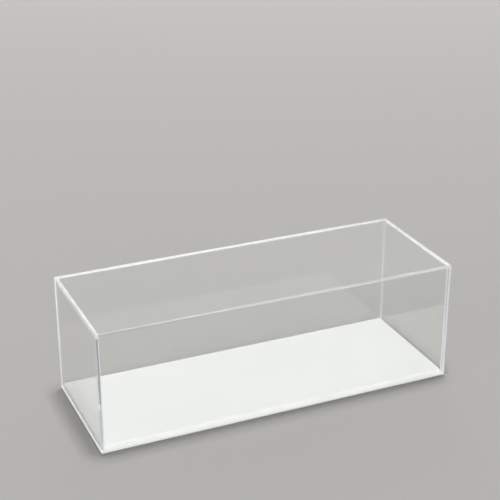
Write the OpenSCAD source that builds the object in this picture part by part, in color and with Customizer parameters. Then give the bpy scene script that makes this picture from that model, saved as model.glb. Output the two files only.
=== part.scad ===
// Clear acrylic display case for scale models: a five-sided cover of welded 3 mm
// sheet drops over a raised plinth and rests on the rim of a white base plate.
// Millimetres, +Z up, length along X. The origin is the centre of the underside.

/* [Case] */
// Length of the case, over the outside of the end walls
case_l = 300; // [120:0.5:600]
// Width of the case, over the outside of the front and back walls
case_w = 108.5; // [60:0.5:300]
// Height of the cover, from its bottom rim to its top face
cover_h = 98; // [30:0.5:400]

/* [Cover sheet] */
// Thickness of the sheet in the front and back walls
long_wall_t = 3; // [2:0.1:8]
// Thickness of the sheet in the left and right walls
end_wall_t = 3; // [2:0.1:8]
// Thickness of the sheet in the top panel
top_t = 3; // [2:0.1:8]

/* [Base sheet] */
// Thickness of the base plate that stands on the table
base_t = 3; // [2:0.1:10]
// Thickness of the plinth that locates the cover
plinth_t = 3; // [2:0.1:10]

/* [Fit] */
// Clearance between the plinth and the walls of the cover, on each side
plinth_gap = 0.5; // [0.1:0.05:2]

/* [Edges] */
// Arris polished on the outer edges of the cover
cover_arris = 0.3; // [0.1:0.05:0.8]
// Arris on both sides of the rim that the cover stands on
rim_arris = 0.25; // [0.1:0.05:0.8]
// Arris on the top and bottom edges of the base plate
base_arris = 0.3; // [0.1:0.05:0.8]
// Lead-in chamfer round the top of the plinth, which guides the cover down
plinth_lead_in = 0.5; // [0.1:0.05:1.5]

/* [Hidden] */

clear_acrylic = [0.86, 0.93, 0.92, 0.35];
white_acrylic = [0.94, 0.95, 0.94];

// Heights of the seats, from the table up
cover_z = base_t;
top_z = cover_z + cover_h - top_t;
wall_h = cover_h - top_t;

// The end walls stand between the long walls
end_wall_w = case_w - 2 * long_wall_t;

// The plinth fills the cover's inside, less its clearance on every side
plinth_l = case_l - 2 * end_wall_t - 2 * plinth_gap;
plinth_w = end_wall_w - 2 * plinth_gap;

// Outline of a sheet's section, w wide from the origin and h high. Each corner is
// cut back by its own arris: lower left, lower right, upper right, upper left.
module eased_section(w, h, arris) {
    polygon([
        [arris[0], 0], [w - arris[1], 0],
        [w, arris[1]], [w, h - arris[2]],
        [w - arris[2], h], [arris[3], h],
        [0, h - arris[3]], [0, arris[0]]
    ]);
}

// Bar of an XZ section, running along Y from 0 to len
module run_along_y(len) {
    translate([0, len, 0]) rotate([90, 0, 0]) linear_extrude(len) children();
}

// Bar of a YZ section, running along X from 0 to len
module run_along_x(len) {
    rotate([90, 0, 90]) linear_extrude(len) children();
}

// Flat sheet l by w by t, centred on the origin and standing on it, with one arris
// round its bottom edge and one round its top edge. Two eased bars cross, so that
// the arrises meet in a mitre at each corner.
module flat_sheet(l, w, t, bottom, top) {
    edges = [bottom, bottom, top, top];
    translate([-l / 2, -w / 2, 0])
        intersection() {
            run_along_y(w) eased_section(l, t, edges);
            run_along_x(l) eased_section(w, t, edges);
        }
}

// Long wall, its outside on y = 0 and its inside towards +Y. It runs the full length
// and covers the ends of the end walls, so its upright outer edges are arrised.
module long_wall() {
    outer = cover_arris;
    intersection() {
        run_along_x(case_l) eased_section(long_wall_t, wall_h, [rim_arris, rim_arris, 0, 0]);
        linear_extrude(wall_h) eased_section(case_l, long_wall_t, [outer, outer, 0, 0]);
    }
}

// End wall, its outside on x = 0 and its inside towards +X, butted between the
// long walls
module end_wall() {
    run_along_y(end_wall_w) eased_section(end_wall_t, wall_h, [rim_arris, rim_arris, 0, 0]);
}

module top_panel() {
    color(clear_acrylic)
        translate([0, 0, top_z])
            flat_sheet(case_l, case_w, top_t, 0, cover_arris);
}

module front_panel() {
    color(clear_acrylic)
        translate([-case_l / 2, -case_w / 2, cover_z])
            long_wall();
}

module back_panel() {
    color(clear_acrylic)
        mirror([0, 1, 0])
            translate([-case_l / 2, -case_w / 2, cover_z])
                long_wall();
}

module left_panel() {
    color(clear_acrylic)
        translate([-case_l / 2, -end_wall_w / 2, cover_z])
            end_wall();
}

module right_panel() {
    color(clear_acrylic)
        mirror([1, 0, 0])
            translate([-case_l / 2, -end_wall_w / 2, cover_z])
                end_wall();
}

module base_plate() {
    color(white_acrylic)
        flat_sheet(case_l, case_w, base_t, base_arris, base_arris);
}

module plinth_plate() {
    color(white_acrylic)
        translate([0, 0, base_t])
            flat_sheet(plinth_l, plinth_w, plinth_t, 0, plinth_lead_in);
}

top_panel();
front_panel();
back_panel();
left_panel();
right_panel();
base_plate();
plinth_plate();
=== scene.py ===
"""Acrylic display case: a clear welded cover standing on a white base with a plinth.

Metres, +Z up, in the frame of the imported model. Angles are in degrees.
"""

import math

import bmesh
import bpy
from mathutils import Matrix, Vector


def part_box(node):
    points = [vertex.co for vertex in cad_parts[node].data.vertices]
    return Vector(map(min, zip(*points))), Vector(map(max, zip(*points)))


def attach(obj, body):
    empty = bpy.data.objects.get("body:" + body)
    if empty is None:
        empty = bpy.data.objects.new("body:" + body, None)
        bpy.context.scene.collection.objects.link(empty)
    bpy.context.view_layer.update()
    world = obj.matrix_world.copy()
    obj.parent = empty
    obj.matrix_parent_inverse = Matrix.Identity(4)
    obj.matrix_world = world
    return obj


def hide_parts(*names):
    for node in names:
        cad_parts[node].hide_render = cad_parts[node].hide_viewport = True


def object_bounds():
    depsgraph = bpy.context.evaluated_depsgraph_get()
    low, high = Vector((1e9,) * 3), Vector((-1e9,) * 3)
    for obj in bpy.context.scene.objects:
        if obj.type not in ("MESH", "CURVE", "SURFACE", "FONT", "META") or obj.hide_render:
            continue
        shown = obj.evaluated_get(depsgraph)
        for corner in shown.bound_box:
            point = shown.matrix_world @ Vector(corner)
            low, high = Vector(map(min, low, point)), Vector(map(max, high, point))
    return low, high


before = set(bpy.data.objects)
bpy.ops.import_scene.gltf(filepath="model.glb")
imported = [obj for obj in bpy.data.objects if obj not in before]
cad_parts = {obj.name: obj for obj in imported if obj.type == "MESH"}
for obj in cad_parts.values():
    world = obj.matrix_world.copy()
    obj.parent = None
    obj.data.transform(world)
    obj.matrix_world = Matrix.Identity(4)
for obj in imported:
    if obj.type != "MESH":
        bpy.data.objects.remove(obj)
cad_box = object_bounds()

# ---------------------------------------------------------------------------
# Sizes, read from the frame
# ---------------------------------------------------------------------------

LEFT, FRONT, TABLE = cad_box[0]
RIGHT, BACK = cad_box[1][:2]
LONG_WALL_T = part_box("front_panel")[1][1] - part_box("front_panel")[0][1]
END_WALL_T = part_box("left_panel")[1][0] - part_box("left_panel")[0][0]
# Height of the edge that the cover stands on
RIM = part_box("front_panel")[0][2]

INSIDE_LEFT = LEFT + END_WALL_T
INSIDE_RIGHT = RIGHT - END_WALL_T
INSIDE_FRONT = FRONT + LONG_WALL_T
INSIDE_BACK = BACK - LONG_WALL_T

# The rim stands on the base with air between them, as two hard sheets do
RIM_AIR = 0.00004

# Polished edges
OUTER_ARRIS = 0.0003
RIM_ARRIS = 0.00025
ARRIS_SEGMENTS = 2

# ---------------------------------------------------------------------------
# Finishes. Scales of patterns are per metre, and a pair is what a pattern gives at its
# two ends
# ---------------------------------------------------------------------------

ACRYLIC_IOR = 1.49
# Tint of light per surface, and how far faint clouds in it move it up and down
SURFACE_TINT = (0.99, 0.994, 0.992)
TINT_SPREAD = 0.006
TINT_CLOUDS = 38.0
# Light that a sheet lets through, per surface, for lamps and diffuse bounces
LAMP_TINT = (0.98, 0.982, 0.981)
# A tint above 1 on the rims, for lamp light through them: painted light on the base under
# the rims, in place of the light that the walls gather from above and pipe down. The long
# walls, and the end walls
LONG_RIM_PAINTED_LIGHT = (1.18, 1.18, 1.17)
END_RIM_PAINTED_LIGHT = (1.45, 1.45, 1.44)

# Roughness of the polished faces, of the arrises and of the sawn rim
FACE_ROUGHNESS = 0.0
ARRIS_ROUGHNESS = 0.12
RIM_ROUGHNESS = 0.05
# Bumps are a strength and a depth in metres
ARRIS_GRAIN = 700.0
ARRIS_BUMP = (0.25, 0.0001)
RIM_BUMP = (0.4, 0.00008)
# Slanting marks of the saw
MARK_SCALE = 260.0
MARK_DISTORTION = 1.5

# What a solvent weld lets through, per sheet: round the top, and at the corners
TOP_WELD_TINT = (0.975, 0.977, 0.976)
CORNER_WELD_TINT = (0.88, 0.893, 0.912)
# The weld is milky along two lines, where the solvent was squeezed out at its borders
SEAM_COLOUR = (0.88, 0.89, 0.89)
SEAM_INSET = 0.0004
SEAM_LINE = 0.0004
SEAM_PATCHES = 90.0
# The lines widen towards the rim, where the solvent ran down and gathered
FOOT_SEAM_LINE = 0.001
FOOT_SEAM_HEIGHT = 0.016
# How much the lines hide, patch by patch
TOP_HAZE = (0.05, 0.3)
CORNER_HAZE = (0.4, 1.0)
# A thinner veil with slanting tool marks lies over the welds of the end walls: what it
# hides at the left end and at the right end, and the share of that between and on the marks
TOP_VEIL = (0.8, 0.4)
CORNER_VEIL = (0.02, 0.2)
VEIL_MARKS = (0.2, 1.0)
# The veil thins out to this share at the rim, from this height above it
FOOT_VEIL = 0.4
FOOT_VEIL_HEIGHT = 0.03

# White acrylic: the share of the light that wanders inside it, and how far
OPAL_SHARE = 0.2
OPAL_DEPTH = 0.003
# Its faces, which are faintly cloudy, and its long edges and end edges. The edge tones are
# painted light and shade: the base's end edges and the plinth's long edges painted lighter,
# as light falls on them, and the plinth's end edges painted darker, as shade in the gap
# beside the end walls
WHITE_TONES = ((0.825, 0.845, 0.822), (0.86, 0.873, 0.85))
WHITE_CLOUDS = 14.0
BASE_EDGE_PAINTED_LIGHT = ((0.86, 0.87, 0.858), (0.95, 0.96, 0.95))
PLINTH_EDGE_PAINTED_LIGHT_AND_SHADE = ((0.955, 0.965, 0.955), (0.52, 0.54, 0.55))
# Faint marks of wiping in its gloss, and orange peel
WIPING_SCALE = 60.0
WIPING_STRETCH = (1.0, 7.0, 1.0)
WIPED_ROUGHNESS = (0.16, 0.26)
PEEL_SCALE = 900.0
PEEL_BUMP = (0.03, 0.0002)

# ---------------------------------------------------------------------------
# Node helpers
# ---------------------------------------------------------------------------


def new_material(name):
    """An empty node material with its output node."""
    material = bpy.data.materials.new(name)
    material.use_nodes = True
    nodes = material.node_tree.nodes
    nodes.clear()
    output = nodes.new("ShaderNodeOutputMaterial")
    return material, nodes, material.node_tree.links, output


def noise(nodes, links, scale, detail=2.0, roughness=0.5, stretch=(1, 1, 1)):
    """A noise texture in object space, stretched along the axes."""
    coords = nodes.new("ShaderNodeTexCoord")
    mapping = nodes.new("ShaderNodeMapping")
    mapping.inputs["Scale"].default_value = stretch
    links.new(coords.outputs["Object"], mapping.inputs["Vector"])
    texture = nodes.new("ShaderNodeTexNoise")
    texture.inputs["Scale"].default_value = scale
    texture.inputs["Detail"].default_value = detail
    texture.inputs["Roughness"].default_value = roughness
    links.new(mapping.outputs["Vector"], texture.inputs["Vector"])
    return texture.outputs["Fac"]


def ramp(nodes, links, source, low, high, low_at=0.3, high_at=0.7):
    """A colour between two colours, driven by a value."""
    node = nodes.new("ShaderNodeValToRGB")
    node.color_ramp.elements[0].position = low_at
    node.color_ramp.elements[1].position = high_at
    node.color_ramp.elements[0].color = (*low, 1)
    node.color_ramp.elements[1].color = (*high, 1)
    links.new(source, node.inputs["Fac"])
    return node.outputs["Color"]


def map_range(nodes, links, value, low, high, from_low=0.0, from_high=1.0, smooth=False):
    """Carries a value from one range to another."""
    node = nodes.new("ShaderNodeMapRange")
    node.interpolation_type = "SMOOTHSTEP" if smooth else "LINEAR"
    node.inputs["From Min"].default_value = from_low
    node.inputs["From Max"].default_value = from_high
    node.inputs["To Min"].default_value = low
    node.inputs["To Max"].default_value = high
    links.new(value, node.inputs["Value"])
    return node.outputs["Result"]


def arithmetic(nodes, links, operation, first, second=None, clamp=False):
    """A math node on two values, each of which is a socket or a number."""
    node = nodes.new("ShaderNodeMath")
    node.operation = operation
    node.use_clamp = clamp
    for socket, value in zip(node.inputs, (first, second)):
        if isinstance(value, bpy.types.NodeSocket):
            links.new(value, socket)
        elif value is not None:
            socket.default_value = value
    return node.outputs[0]


def mix_shaders(nodes, links, share, first, second):
    """The first shader where share is 0, and the second where it is 1."""
    node = nodes.new("ShaderNodeMixShader")
    links.new(share, node.inputs[0])
    links.new(first.outputs[0], node.inputs[1])
    links.new(second.outputs[0], node.inputs[2])
    return node


def tool_marks(nodes, links):
    """0 to 1 in fine slanting bands, as a saw or a router leaves them on a cut edge."""
    coords = nodes.new("ShaderNodeTexCoord")
    marks = nodes.new("ShaderNodeTexWave")
    marks.wave_type = "BANDS"
    marks.bands_direction = "DIAGONAL"
    marks.inputs["Scale"].default_value = MARK_SCALE
    marks.inputs["Distortion"].default_value = MARK_DISTORTION
    marks.inputs["Detail"].default_value = 2.0
    links.new(coords.outputs["Object"], marks.inputs["Vector"])
    return marks.outputs["Fac"]


def bump(nodes, links, height, size, shader):
    """Roughens a shader's surface by a height. size is the bump's strength and depth."""
    node = nodes.new("ShaderNodeBump")
    node.inputs["Strength"].default_value, node.inputs["Distance"].default_value = size
    links.new(height, node.inputs["Height"])
    links.new(node.outputs["Normal"], shader.inputs["Normal"])


# ---------------------------------------------------------------------------
# Materials
# ---------------------------------------------------------------------------


def seen_and_lit(nodes, links, output, seen, lamp_tint):
    """Shows one shader to the eye, and lets lamp light and diffuse bounces through."""
    filtered = nodes.new("ShaderNodeBsdfTransparent")
    filtered.inputs["Color"].default_value = (*lamp_tint, 1)
    path = nodes.new("ShaderNodeLightPath")
    lamps = mix_shaders(nodes, links, path.outputs["Is Shadow Ray"], seen, filtered)
    bounces = mix_shaders(nodes, links, path.outputs["Is Diffuse Ray"], lamps, filtered)
    links.new(bounces.outputs[0], output.inputs["Surface"])


def acrylic_surface(nodes, links, roughness):
    """Clear acrylic as the eye sees it, with a faint cloudiness in its tint."""
    sheet = nodes.new("ShaderNodeBsdfPrincipled")
    sheet.inputs["Transmission Weight"].default_value = 1.0
    sheet.inputs["IOR"].default_value = ACRYLIC_IOR
    sheet.inputs["Roughness"].default_value = roughness
    clouds = noise(nodes, links, TINT_CLOUDS, detail=3.0)
    tint = ramp(nodes, links, clouds, [part - TINT_SPREAD for part in SURFACE_TINT],
                [part + TINT_SPREAD for part in SURFACE_TINT])
    links.new(tint, sheet.inputs["Base Color"])
    return sheet


def clear_acrylic(name):
    """The polished faces of the cast sheet."""
    material, nodes, links, output = new_material(name)
    sheet = acrylic_surface(nodes, links, FACE_ROUGHNESS)
    seen_and_lit(nodes, links, output, sheet, LAMP_TINT)
    return material


def polished_arris(name):
    """A hand-polished edge, which keeps a fine grain from the scraper."""
    material, nodes, links, output = new_material(name)
    edge = acrylic_surface(nodes, links, ARRIS_ROUGHNESS)
    bump(nodes, links, noise(nodes, links, ARRIS_GRAIN, detail=3.0), ARRIS_BUMP, edge)
    seen_and_lit(nodes, links, output, edge, LAMP_TINT)
    return material


def sawn_rim(name, painted_light):
    """The cut edge the cover stands on, with fine slanting tool marks."""
    material, nodes, links, output = new_material(name)
    rim = acrylic_surface(nodes, links, RIM_ROUGHNESS)
    bump(nodes, links, tool_marks(nodes, links), RIM_BUMP, rim)
    # The tint for lamp light through the rim is above 1: painted light on the base beneath
    # it
    seen_and_lit(nodes, links, output, rim, painted_light)
    return material


def seam_lines(nodes, links, position, middle, thickness, width):
    """1 on the two lines that run just inside the borders of a weld, 0 off them. middle is
    how far the middle of the wall's thickness lies from the middle of the case."""
    def distance(value, to):
        difference = arithmetic(nodes, links, "SUBTRACT", value, to)
        return arithmetic(nodes, links, "ABSOLUTE", difference)

    from_middle = distance(arithmetic(nodes, links, "ABSOLUTE", position), middle)
    from_line = distance(from_middle, thickness / 2 - SEAM_INSET)
    fall = arithmetic(nodes, links, "DIVIDE", from_line, width)
    return arithmetic(nodes, links, "SUBTRACT", 1.0, fall, clamp=True)


def seam_share(nodes, links, place, haze):
    """How much the milky lines along the borders of the welds hide."""
    width = map_range(nodes, links, place.outputs["Z"], FOOT_SEAM_LINE, SEAM_LINE,
                      RIM, RIM + FOOT_SEAM_HEIGHT)
    at_ends = seam_lines(nodes, links, place.outputs["X"],
                         RIGHT - END_WALL_T / 2, END_WALL_T, width)
    at_sides = seam_lines(nodes, links, place.outputs["Y"],
                          BACK - LONG_WALL_T / 2, LONG_WALL_T, SEAM_LINE)
    lines = arithmetic(nodes, links, "MAXIMUM", at_ends, at_sides)
    patches = map_range(nodes, links, noise(nodes, links, SEAM_PATCHES, detail=3.0), *haze)
    return arithmetic(nodes, links, "MULTIPLY", lines, patches)


def veil_share(nodes, links, place, veil):
    """How much the veil over the welds of the end walls hides."""
    share = map_range(nodes, links, place.outputs["X"], *veil, LEFT, RIGHT)
    marks = map_range(nodes, links, tool_marks(nodes, links), *VEIL_MARKS)
    above_rim = map_range(nodes, links, place.outputs["Z"], FOOT_VEIL, 1.0,
                          RIM, RIM + FOOT_VEIL_HEIGHT)
    from_middle = arithmetic(nodes, links, "ABSOLUTE", place.outputs["X"])
    in_end_walls = arithmetic(nodes, links, "GREATER_THAN", from_middle, INSIDE_RIGHT)
    for factor in (marks, above_rim, in_end_walls):
        share = arithmetic(nodes, links, "MULTIPLY", share, factor)
    return share


def weld_joint(name, tint, haze, veil):
    """Face of a solvent weld: the two sheets are one piece of acrylic there, with a
    milky line along each border and a veil between them."""
    material, nodes, links, output = new_material(name)
    fused = nodes.new("ShaderNodeBsdfTransparent")
    fused.inputs["Color"].default_value = (*tint, 1)
    milky = nodes.new("ShaderNodeBsdfDiffuse")
    milky.inputs["Color"].default_value = (*SEAM_COLOUR, 1)
    coords = nodes.new("ShaderNodeTexCoord")
    place = nodes.new("ShaderNodeSeparateXYZ")
    links.new(coords.outputs["Object"], place.inputs[0])
    share = arithmetic(nodes, links, "MAXIMUM", seam_share(nodes, links, place, haze),
                       veil_share(nodes, links, place, veil))
    joint = mix_shaders(nodes, links, share, fused, milky)
    seen_and_lit(nodes, links, output, joint, (1, 1, 1))
    return material


def white_acrylic(name, long_edge_painted_tone, end_edge_painted_tone):
    """Opal white gloss sheet with fine orange peel and faint wiping marks. Its edges have
    tones painted apart from its faces, for how light and shade fall on them: the long ones
    and the ones at the ends."""
    material, nodes, links, output = new_material(name)
    sheet = nodes.new("ShaderNodeBsdfPrincipled")
    sheet.inputs["IOR"].default_value = ACRYLIC_IOR
    sheet.inputs["Subsurface Weight"].default_value = OPAL_SHARE
    sheet.inputs["Subsurface Radius"].default_value = (1.0, 1.0, 1.0)
    sheet.inputs["Subsurface Scale"].default_value = OPAL_DEPTH
    tone = ramp(nodes, links, noise(nodes, links, WHITE_CLOUDS, detail=4.0), *WHITE_TONES)
    coords = nodes.new("ShaderNodeTexCoord")
    facing = nodes.new("ShaderNodeSeparateXYZ")
    links.new(coords.outputs["Normal"], facing.inputs[0])
    at_end = arithmetic(nodes, links, "ABSOLUTE", facing.outputs["X"])
    flat = arithmetic(nodes, links, "ABSOLUTE", facing.outputs["Z"])
    # Side faces take the edge tones, which are painted light and shade, in place of the
    # cloudy tone
    tone_or_painted_edge = nodes.new("ShaderNodeMix")
    tone_or_painted_edge.data_type = "RGBA"
    links.new(flat, tone_or_painted_edge.inputs["Factor"])
    links.new(ramp(nodes, links, at_end, long_edge_painted_tone, end_edge_painted_tone), tone_or_painted_edge.inputs["A"])
    links.new(tone, tone_or_painted_edge.inputs["B"])
    links.new(tone_or_painted_edge.outputs["Result"], sheet.inputs["Base Color"])
    wiping = noise(nodes, links, WIPING_SCALE, 5.0, 0.6, WIPING_STRETCH)
    links.new(map_range(nodes, links, wiping, *WIPED_ROUGHNESS), sheet.inputs["Roughness"])
    bump(nodes, links, noise(nodes, links, PEEL_SCALE), PEEL_BUMP, sheet)
    links.new(sheet.outputs[0], output.inputs["Surface"])
    return material


CLEAR = clear_acrylic("clear_cast_acrylic")
TOP_WELD = weld_joint("top_weld", TOP_WELD_TINT, TOP_HAZE, TOP_VEIL)
CORNER_WELD = weld_joint("corner_weld", CORNER_WELD_TINT, CORNER_HAZE, CORNER_VEIL)
ARRIS = polished_arris("polished_arris")
LONG_RIM = sawn_rim("sawn_long_rim", LONG_RIM_PAINTED_LIGHT)
END_RIM = sawn_rim("sawn_end_rim", END_RIM_PAINTED_LIGHT)
WHITE_BASE = white_acrylic("white_base_acrylic", *BASE_EDGE_PAINTED_LIGHT)
WHITE_PLINTH = white_acrylic("white_plinth_acrylic", *PLINTH_EDGE_PAINTED_LIGHT_AND_SHADE)

# ---------------------------------------------------------------------------
# Cover panels
# ---------------------------------------------------------------------------

FACE_SLOT, TOP_WELD_SLOT, CORNER_WELD_SLOT, ARRIS_SLOT, RIM_SLOT = range(5)
# Two coordinates this close are one
SAME_PLACE = 5e-5
CUT_TOLERANCE = 1e-6
# A normal whose part along an axis is larger than this points along it
ALONG_AXIS = 0.999


def near(a, b):
    """True if two coordinates are the same."""
    return abs(a - b) < SAME_PLACE


def on_outline(a, b, axis, values):
    """True if both ends of an edge lie at one of the values along an axis."""
    return any(near(a[axis], value) and near(b[axis], value) for value in values)


def cut_at(axis, places):
    """Planes square to an axis, each as a point and a normal."""
    normal = [0, 0, 0]
    normal[axis] = 1
    return [([place * part for part in normal], normal) for place in places]


def material_slot(face, is_weld):
    """Which of the panel's finishes a face has."""
    centre, normal = face.calc_center_median(), face.normal
    if max(abs(part) for part in normal) < ALONG_AXIS:
        return ARRIS_SLOT
    if is_weld(centre, normal):
        return TOP_WELD_SLOT if abs(normal.z) > ALONG_AXIS else CORNER_WELD_SLOT
    if normal.z < -ALONG_AXIS and near(centre.z, RIM + RIM_AIR):
        return RIM_SLOT
    return FACE_SLOT


def panel(name, low, high, cuts, is_weld, eased, rim=CLEAR):
    """A sheet between two corners. cuts are planes that part its faces at the welds,
    is_weld(centre, normal) picks the welded faces, eased(a, b) gives the arris of the
    edge from a to b, or 0, and rim is the material of the edge the sheet stands on."""
    low, high = Vector(low), Vector(high)
    if near(low.z, RIM):
        low.z += RIM_AIR
    size = high - low
    middle = (high + low) / 2
    mesh = bmesh.new()
    bmesh.ops.create_cube(mesh, size=1.0)
    for vert in mesh.verts:
        vert.co = Vector(a * b for a, b in zip(vert.co, size)) + middle
    for arris in (OUTER_ARRIS, RIM_ARRIS):
        chosen = [e for e in mesh.edges if eased(e.verts[0].co, e.verts[1].co) == arris]
        if chosen:
            bmesh.ops.bevel(mesh, geom=chosen, offset=arris, offset_type="OFFSET",
                            segments=ARRIS_SEGMENTS, profile=0.5, affect="EDGES")
    for point, normal in cuts:
        bmesh.ops.bisect_plane(mesh, geom=mesh.verts[:] + mesh.edges[:] + mesh.faces[:],
                               dist=CUT_TOLERANCE, plane_co=point, plane_no=normal)
    bmesh.ops.recalc_face_normals(mesh, faces=mesh.faces[:])
    for face in mesh.faces:
        face.material_index = material_slot(face, is_weld)
    data = bpy.data.meshes.new(name)
    mesh.to_mesh(data)
    mesh.free()
    for material in (CLEAR, TOP_WELD, CORNER_WELD, ARRIS, rim):
        data.materials.append(material)
    piece = bpy.data.objects.new(name, data)
    bpy.context.scene.collection.objects.link(piece)
    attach(piece, "cover")
    return piece


def top_sheet():
    """Lies on all four walls, so a strip all round its underside is welded."""
    low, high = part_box("top_panel")

    def is_weld(centre, normal):
        over_inside = (INSIDE_LEFT < centre.x < INSIDE_RIGHT
                       and INSIDE_FRONT < centre.y < INSIDE_BACK)
        return normal.z < -ALONG_AXIS and not over_inside

    def eased(a, b):
        return OUTER_ARRIS if on_outline(a, b, 2, [high[2]]) else 0

    cuts = cut_at(0, [INSIDE_LEFT, INSIDE_RIGHT]) + cut_at(1, [INSIDE_FRONT, INSIDE_BACK])
    piece = panel("lid_sheet", low, high, cuts, is_weld, eased)
    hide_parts("top_panel")


def long_wall(node, name, outside, inside, facing):
    """Front or back wall. It covers the end walls, which are welded to its inside."""
    low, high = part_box(node)

    def is_weld(centre, normal):
        at_end = not INSIDE_LEFT < centre.x < INSIDE_RIGHT
        return normal.z > ALONG_AXIS or (at_end and normal.y * facing > ALONG_AXIS)

    def eased(a, b):
        if on_outline(a, b, 2, [RIM]) and on_outline(a, b, 1, [outside, inside]):
            return RIM_ARRIS
        upright = on_outline(a, b, 0, [LEFT, RIGHT]) and on_outline(a, b, 1, [outside])
        return OUTER_ARRIS if upright else 0

    cuts = cut_at(0, [INSIDE_LEFT, INSIDE_RIGHT])
    piece = panel(name, low, high, cuts, is_weld, eased, LONG_RIM)
    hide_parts(node)


def end_wall(node, name, outside, inside):
    """Left or right wall, between the long walls."""
    low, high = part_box(node)

    def is_weld(centre, normal):
        return normal.z > ALONG_AXIS or abs(normal.y) > ALONG_AXIS

    def eased(a, b):
        rim = on_outline(a, b, 2, [RIM]) and on_outline(a, b, 0, [outside, inside])
        return RIM_ARRIS if rim else 0

    piece = panel(name, low, high, [], is_weld, eased, END_RIM)
    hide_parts(node)


top_sheet()
long_wall("front_panel", "front_sheet", FRONT, INSIDE_FRONT, 1)
long_wall("back_panel", "back_sheet", BACK, INSIDE_BACK, -1)
end_wall("left_panel", "left_sheet", LEFT, INSIDE_LEFT)
end_wall("right_panel", "right_sheet", RIGHT, INSIDE_RIGHT)

for node, material in (("base_plate", WHITE_BASE), ("plinth_plate", WHITE_PLINTH)):
    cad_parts[node].data.materials.clear()
    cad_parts[node].data.materials.append(material)

# ---------------------------------------------------------------------------
# Floor, light and camera
# ---------------------------------------------------------------------------

FLOOR_COLOUR = (0.41, 0.403, 0.39)
FLOOR_ROUGHNESS = 0.6
FLOOR_REACH = 12.0
# The floor runs out into the backdrop between these distances
SWEEP = (1.5, 4.0)
BACKDROP_COLOUR = (0.64, 0.632, 0.617)
# The contact shadow: the floor's colour right beside the case, how far that reaches, and
# the openness at which it is deepest
CONTACT_COLOUR = (0.24, 0.235, 0.226)
CONTACT_REACH = 0.018
CONTACT_DEEPEST = 0.5
CONTACT_SAMPLES = 8
# It lies in front of the case and left of it, because most light comes from the other sides
CONTACT_LIGHT = Vector((0.5, 0.35, 0.8)).normalized()

SKY_LEVEL = 0.14
LAMP_AIM = Vector((0, 0, 0.03))
LAMP_DISTANCE = 6.0
# A softbox's cloth is 1 across. It fades to its border between these distances from its
# middle
CLOTH_MIDDLE = (0.5, 0.5, 0)
CLOTH_FADE = (0.1, 0.5)
# Azimuth, elevation, the angle that the lamp fills, the brightness of its cloth, and
# whether it is seen through the sheets
LAMPS = {
    "rear": (160, 33, 16, 31.0, False),
    "right": (108, 28, 16, 12.7, False),
    "left": (-75, 23, 20, 17.8, False),
    "front_fill": (-15, 12, 16, 15.0, False),
    "front_left": (-24, 21, 44, 2.5, True),
    "front_right": (24, 24, 52, 1.0, True),
}

VIEW_AZIMUTH = -23.8
VIEW_ELEVATION = 24.01
VIEW_DISTANCE = 1.0387
VIEW_AIM = Vector((0.00696, 0.02491, 0.108))
SENSOR_WIDTH = 36.0
FOCAL_LENGTH = 91.6
NEAREST_SEEN = 0.01


def towards(azimuth, elevation):
    """The direction from the case, 0 degrees of azimuth at the front and 90 at the right."""
    azimuth, elevation = math.radians(azimuth), math.radians(elevation)
    return Vector((math.sin(azimuth) * math.cos(elevation),
                   -math.cos(azimuth) * math.cos(elevation), math.sin(elevation)))


def set_up(name, data, aim, away, distance):
    """Puts a lamp or a camera at a distance from its aim, looking at it."""
    holder = bpy.data.objects.new(name, data)
    holder.location = aim + distance * away
    holder.rotation_euler = (-away).to_track_quat("-Z", "Y").to_euler()
    bpy.context.scene.collection.objects.link(holder)
    return holder


def seen_directly(nodes, links):
    """1 for what the eye sees, also in gloss and through glass, 0 for diffuse light."""
    path = nodes.new("ShaderNodeLightPath")
    mirrored = arithmetic(nodes, links, "ADD", path.outputs["Is Camera Ray"],
                          path.outputs["Is Glossy Ray"])
    return arithmetic(nodes, links, "ADD", mirrored, path.outputs["Is Transmission Ray"],
                      clamp=True)


def pale_floor():
    """A wide matt floor that runs out into the backdrop, as a studio sweep does."""
    material, nodes, links, output = new_material("pale_floor")
    surface = nodes.new("ShaderNodeBsdfPrincipled")
    surface.inputs["Roughness"].default_value = FLOOR_ROUGHNESS
    # The floor's colour darkens where the case closes it in: a painted contact shadow
    openness = nodes.new("ShaderNodeAmbientOcclusion")
    openness.samples = CONTACT_SAMPLES
    openness.inputs["Distance"].default_value = CONTACT_REACH
    light = nodes.new("ShaderNodeCombineXYZ")
    for axis, part in zip("XYZ", CONTACT_LIGHT):
        light.inputs[axis].default_value = part
    links.new(light.outputs[0], openness.inputs["Normal"])
    tone = ramp(nodes, links, openness.outputs["AO"], CONTACT_COLOUR, FLOOR_COLOUR,
                CONTACT_DEEPEST, 1.0)
    links.new(tone, surface.inputs["Base Color"])
    sweep = nodes.new("ShaderNodeEmission")
    sweep.inputs["Color"].default_value = (*BACKDROP_COLOUR, 1)
    sweep.inputs["Strength"].default_value = 1.0
    coords = nodes.new("ShaderNodeTexCoord")
    away = nodes.new("ShaderNodeVectorMath")
    away.operation = "LENGTH"
    links.new(coords.outputs["Object"], away.inputs[0])
    far = map_range(nodes, links, away.outputs["Value"], 0.0, 1.0, *SWEEP, smooth=True)
    share = arithmetic(nodes, links, "MULTIPLY", far, seen_directly(nodes, links))
    mix = mix_shaders(nodes, links, share, surface, sweep)
    links.new(mix.outputs[0], output.inputs["Surface"])
    bpy.ops.mesh.primitive_plane_add(size=2 * FLOOR_REACH, location=(0, 0, TABLE))
    floor = bpy.context.object
    floor.name = "studio_floor"
    floor.data.materials.append(material)


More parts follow.
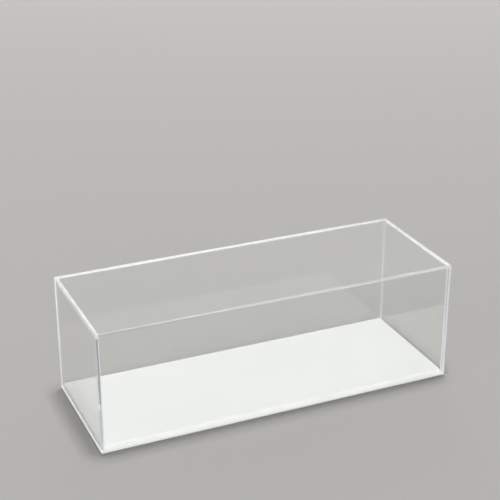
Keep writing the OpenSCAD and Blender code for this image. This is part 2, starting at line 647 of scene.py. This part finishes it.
def soft_world():
    """Even light all round; what is seen of it is a pale backdrop."""
    world = bpy.data.worlds.new("studio")
    bpy.context.scene.world = world
    world.use_nodes = True
    nodes, links = world.node_tree.nodes, world.node_tree.links
    nodes.clear()
    output = nodes.new("ShaderNodeOutputWorld")
    light = nodes.new("ShaderNodeBackground")
    light.inputs["Color"].default_value = (1, 1, 1, 1)
    light.inputs["Strength"].default_value = SKY_LEVEL
    seen = nodes.new("ShaderNodeBackground")
    seen.inputs["Color"].default_value = (*BACKDROP_COLOUR, 1)
    seen.inputs["Strength"].default_value = 1.0
    mix = mix_shaders(nodes, links, seen_directly(nodes, links), light, seen)
    links.new(mix.outputs[0], output.inputs["Surface"])


def fade_to_borders(lamp):
    """The cloth of a softbox is brightest in the middle and fades to its borders."""
    lamp.use_nodes = True
    nodes, links = lamp.node_tree.nodes, lamp.node_tree.links
    nodes.clear()
    place = nodes.new("ShaderNodeNewGeometry")
    away = nodes.new("ShaderNodeVectorMath")
    away.operation = "DISTANCE"
    links.new(place.outputs["Parametric"], away.inputs[0])
    away.inputs[1].default_value = CLOTH_MIDDLE
    fade = map_range(nodes, links, away.outputs["Value"], 1.0, 0.0, *CLOTH_FADE, smooth=True)
    cloth = nodes.new("ShaderNodeEmission")
    links.new(fade, cloth.inputs["Strength"])
    output = nodes.new("ShaderNodeOutputLight")
    links.new(cloth.outputs[0], output.inputs["Surface"])


def softbox(name, azimuth, elevation, spread, level, in_sheets):
    """A square lamp that looks at the case. Mirrored in gloss it isn't seen."""
    lamp = bpy.data.lights.new(name, "AREA")
    lamp.shape = "SQUARE"
    lamp.size = 2 * LAMP_DISTANCE * math.tan(math.radians(spread) / 2)
    lamp.energy = level * math.pi * lamp.size ** 2
    if in_sheets:
        fade_to_borders(lamp)
    holder = set_up(name, lamp, LAMP_AIM, towards(azimuth, elevation), LAMP_DISTANCE)
    holder.visible_camera = False
    holder.visible_glossy = False
    holder.visible_transmission = in_sheets


def camera():
    """Long lens, from the left and above."""
    data = bpy.data.cameras.new("camera")
    data.sensor_width = SENSOR_WIDTH
    data.lens = FOCAL_LENGTH
    data.clip_start = NEAREST_SEEN
    away = towards(VIEW_AZIMUTH, VIEW_ELEVATION)
    bpy.context.scene.camera = set_up("camera", data, VIEW_AIM, away, VIEW_DISTANCE)


pale_floor()
soft_world()
for name, settings in LAMPS.items():
    softbox(name, *settings)
camera()

# Light is reflected inside the sheets many times on its way from end to end
SHEET_BOUNCES = 300
DIFFUSE_BOUNCES = 4
cycles = bpy.context.scene.cycles
cycles.max_bounces = SHEET_BOUNCES
cycles.transmission_bounces = SHEET_BOUNCES
cycles.glossy_bounces = SHEET_BOUNCES
cycles.transparent_max_bounces = SHEET_BOUNCES
cycles.diffuse_bounces = DIFFUSE_BOUNCES
# The sheet edges are bright lines a pixel or two wide, which the other passes blur
cycles.denoising_input_passes = "RGB"

bpy.context.scene.view_settings.view_transform = "Standard"
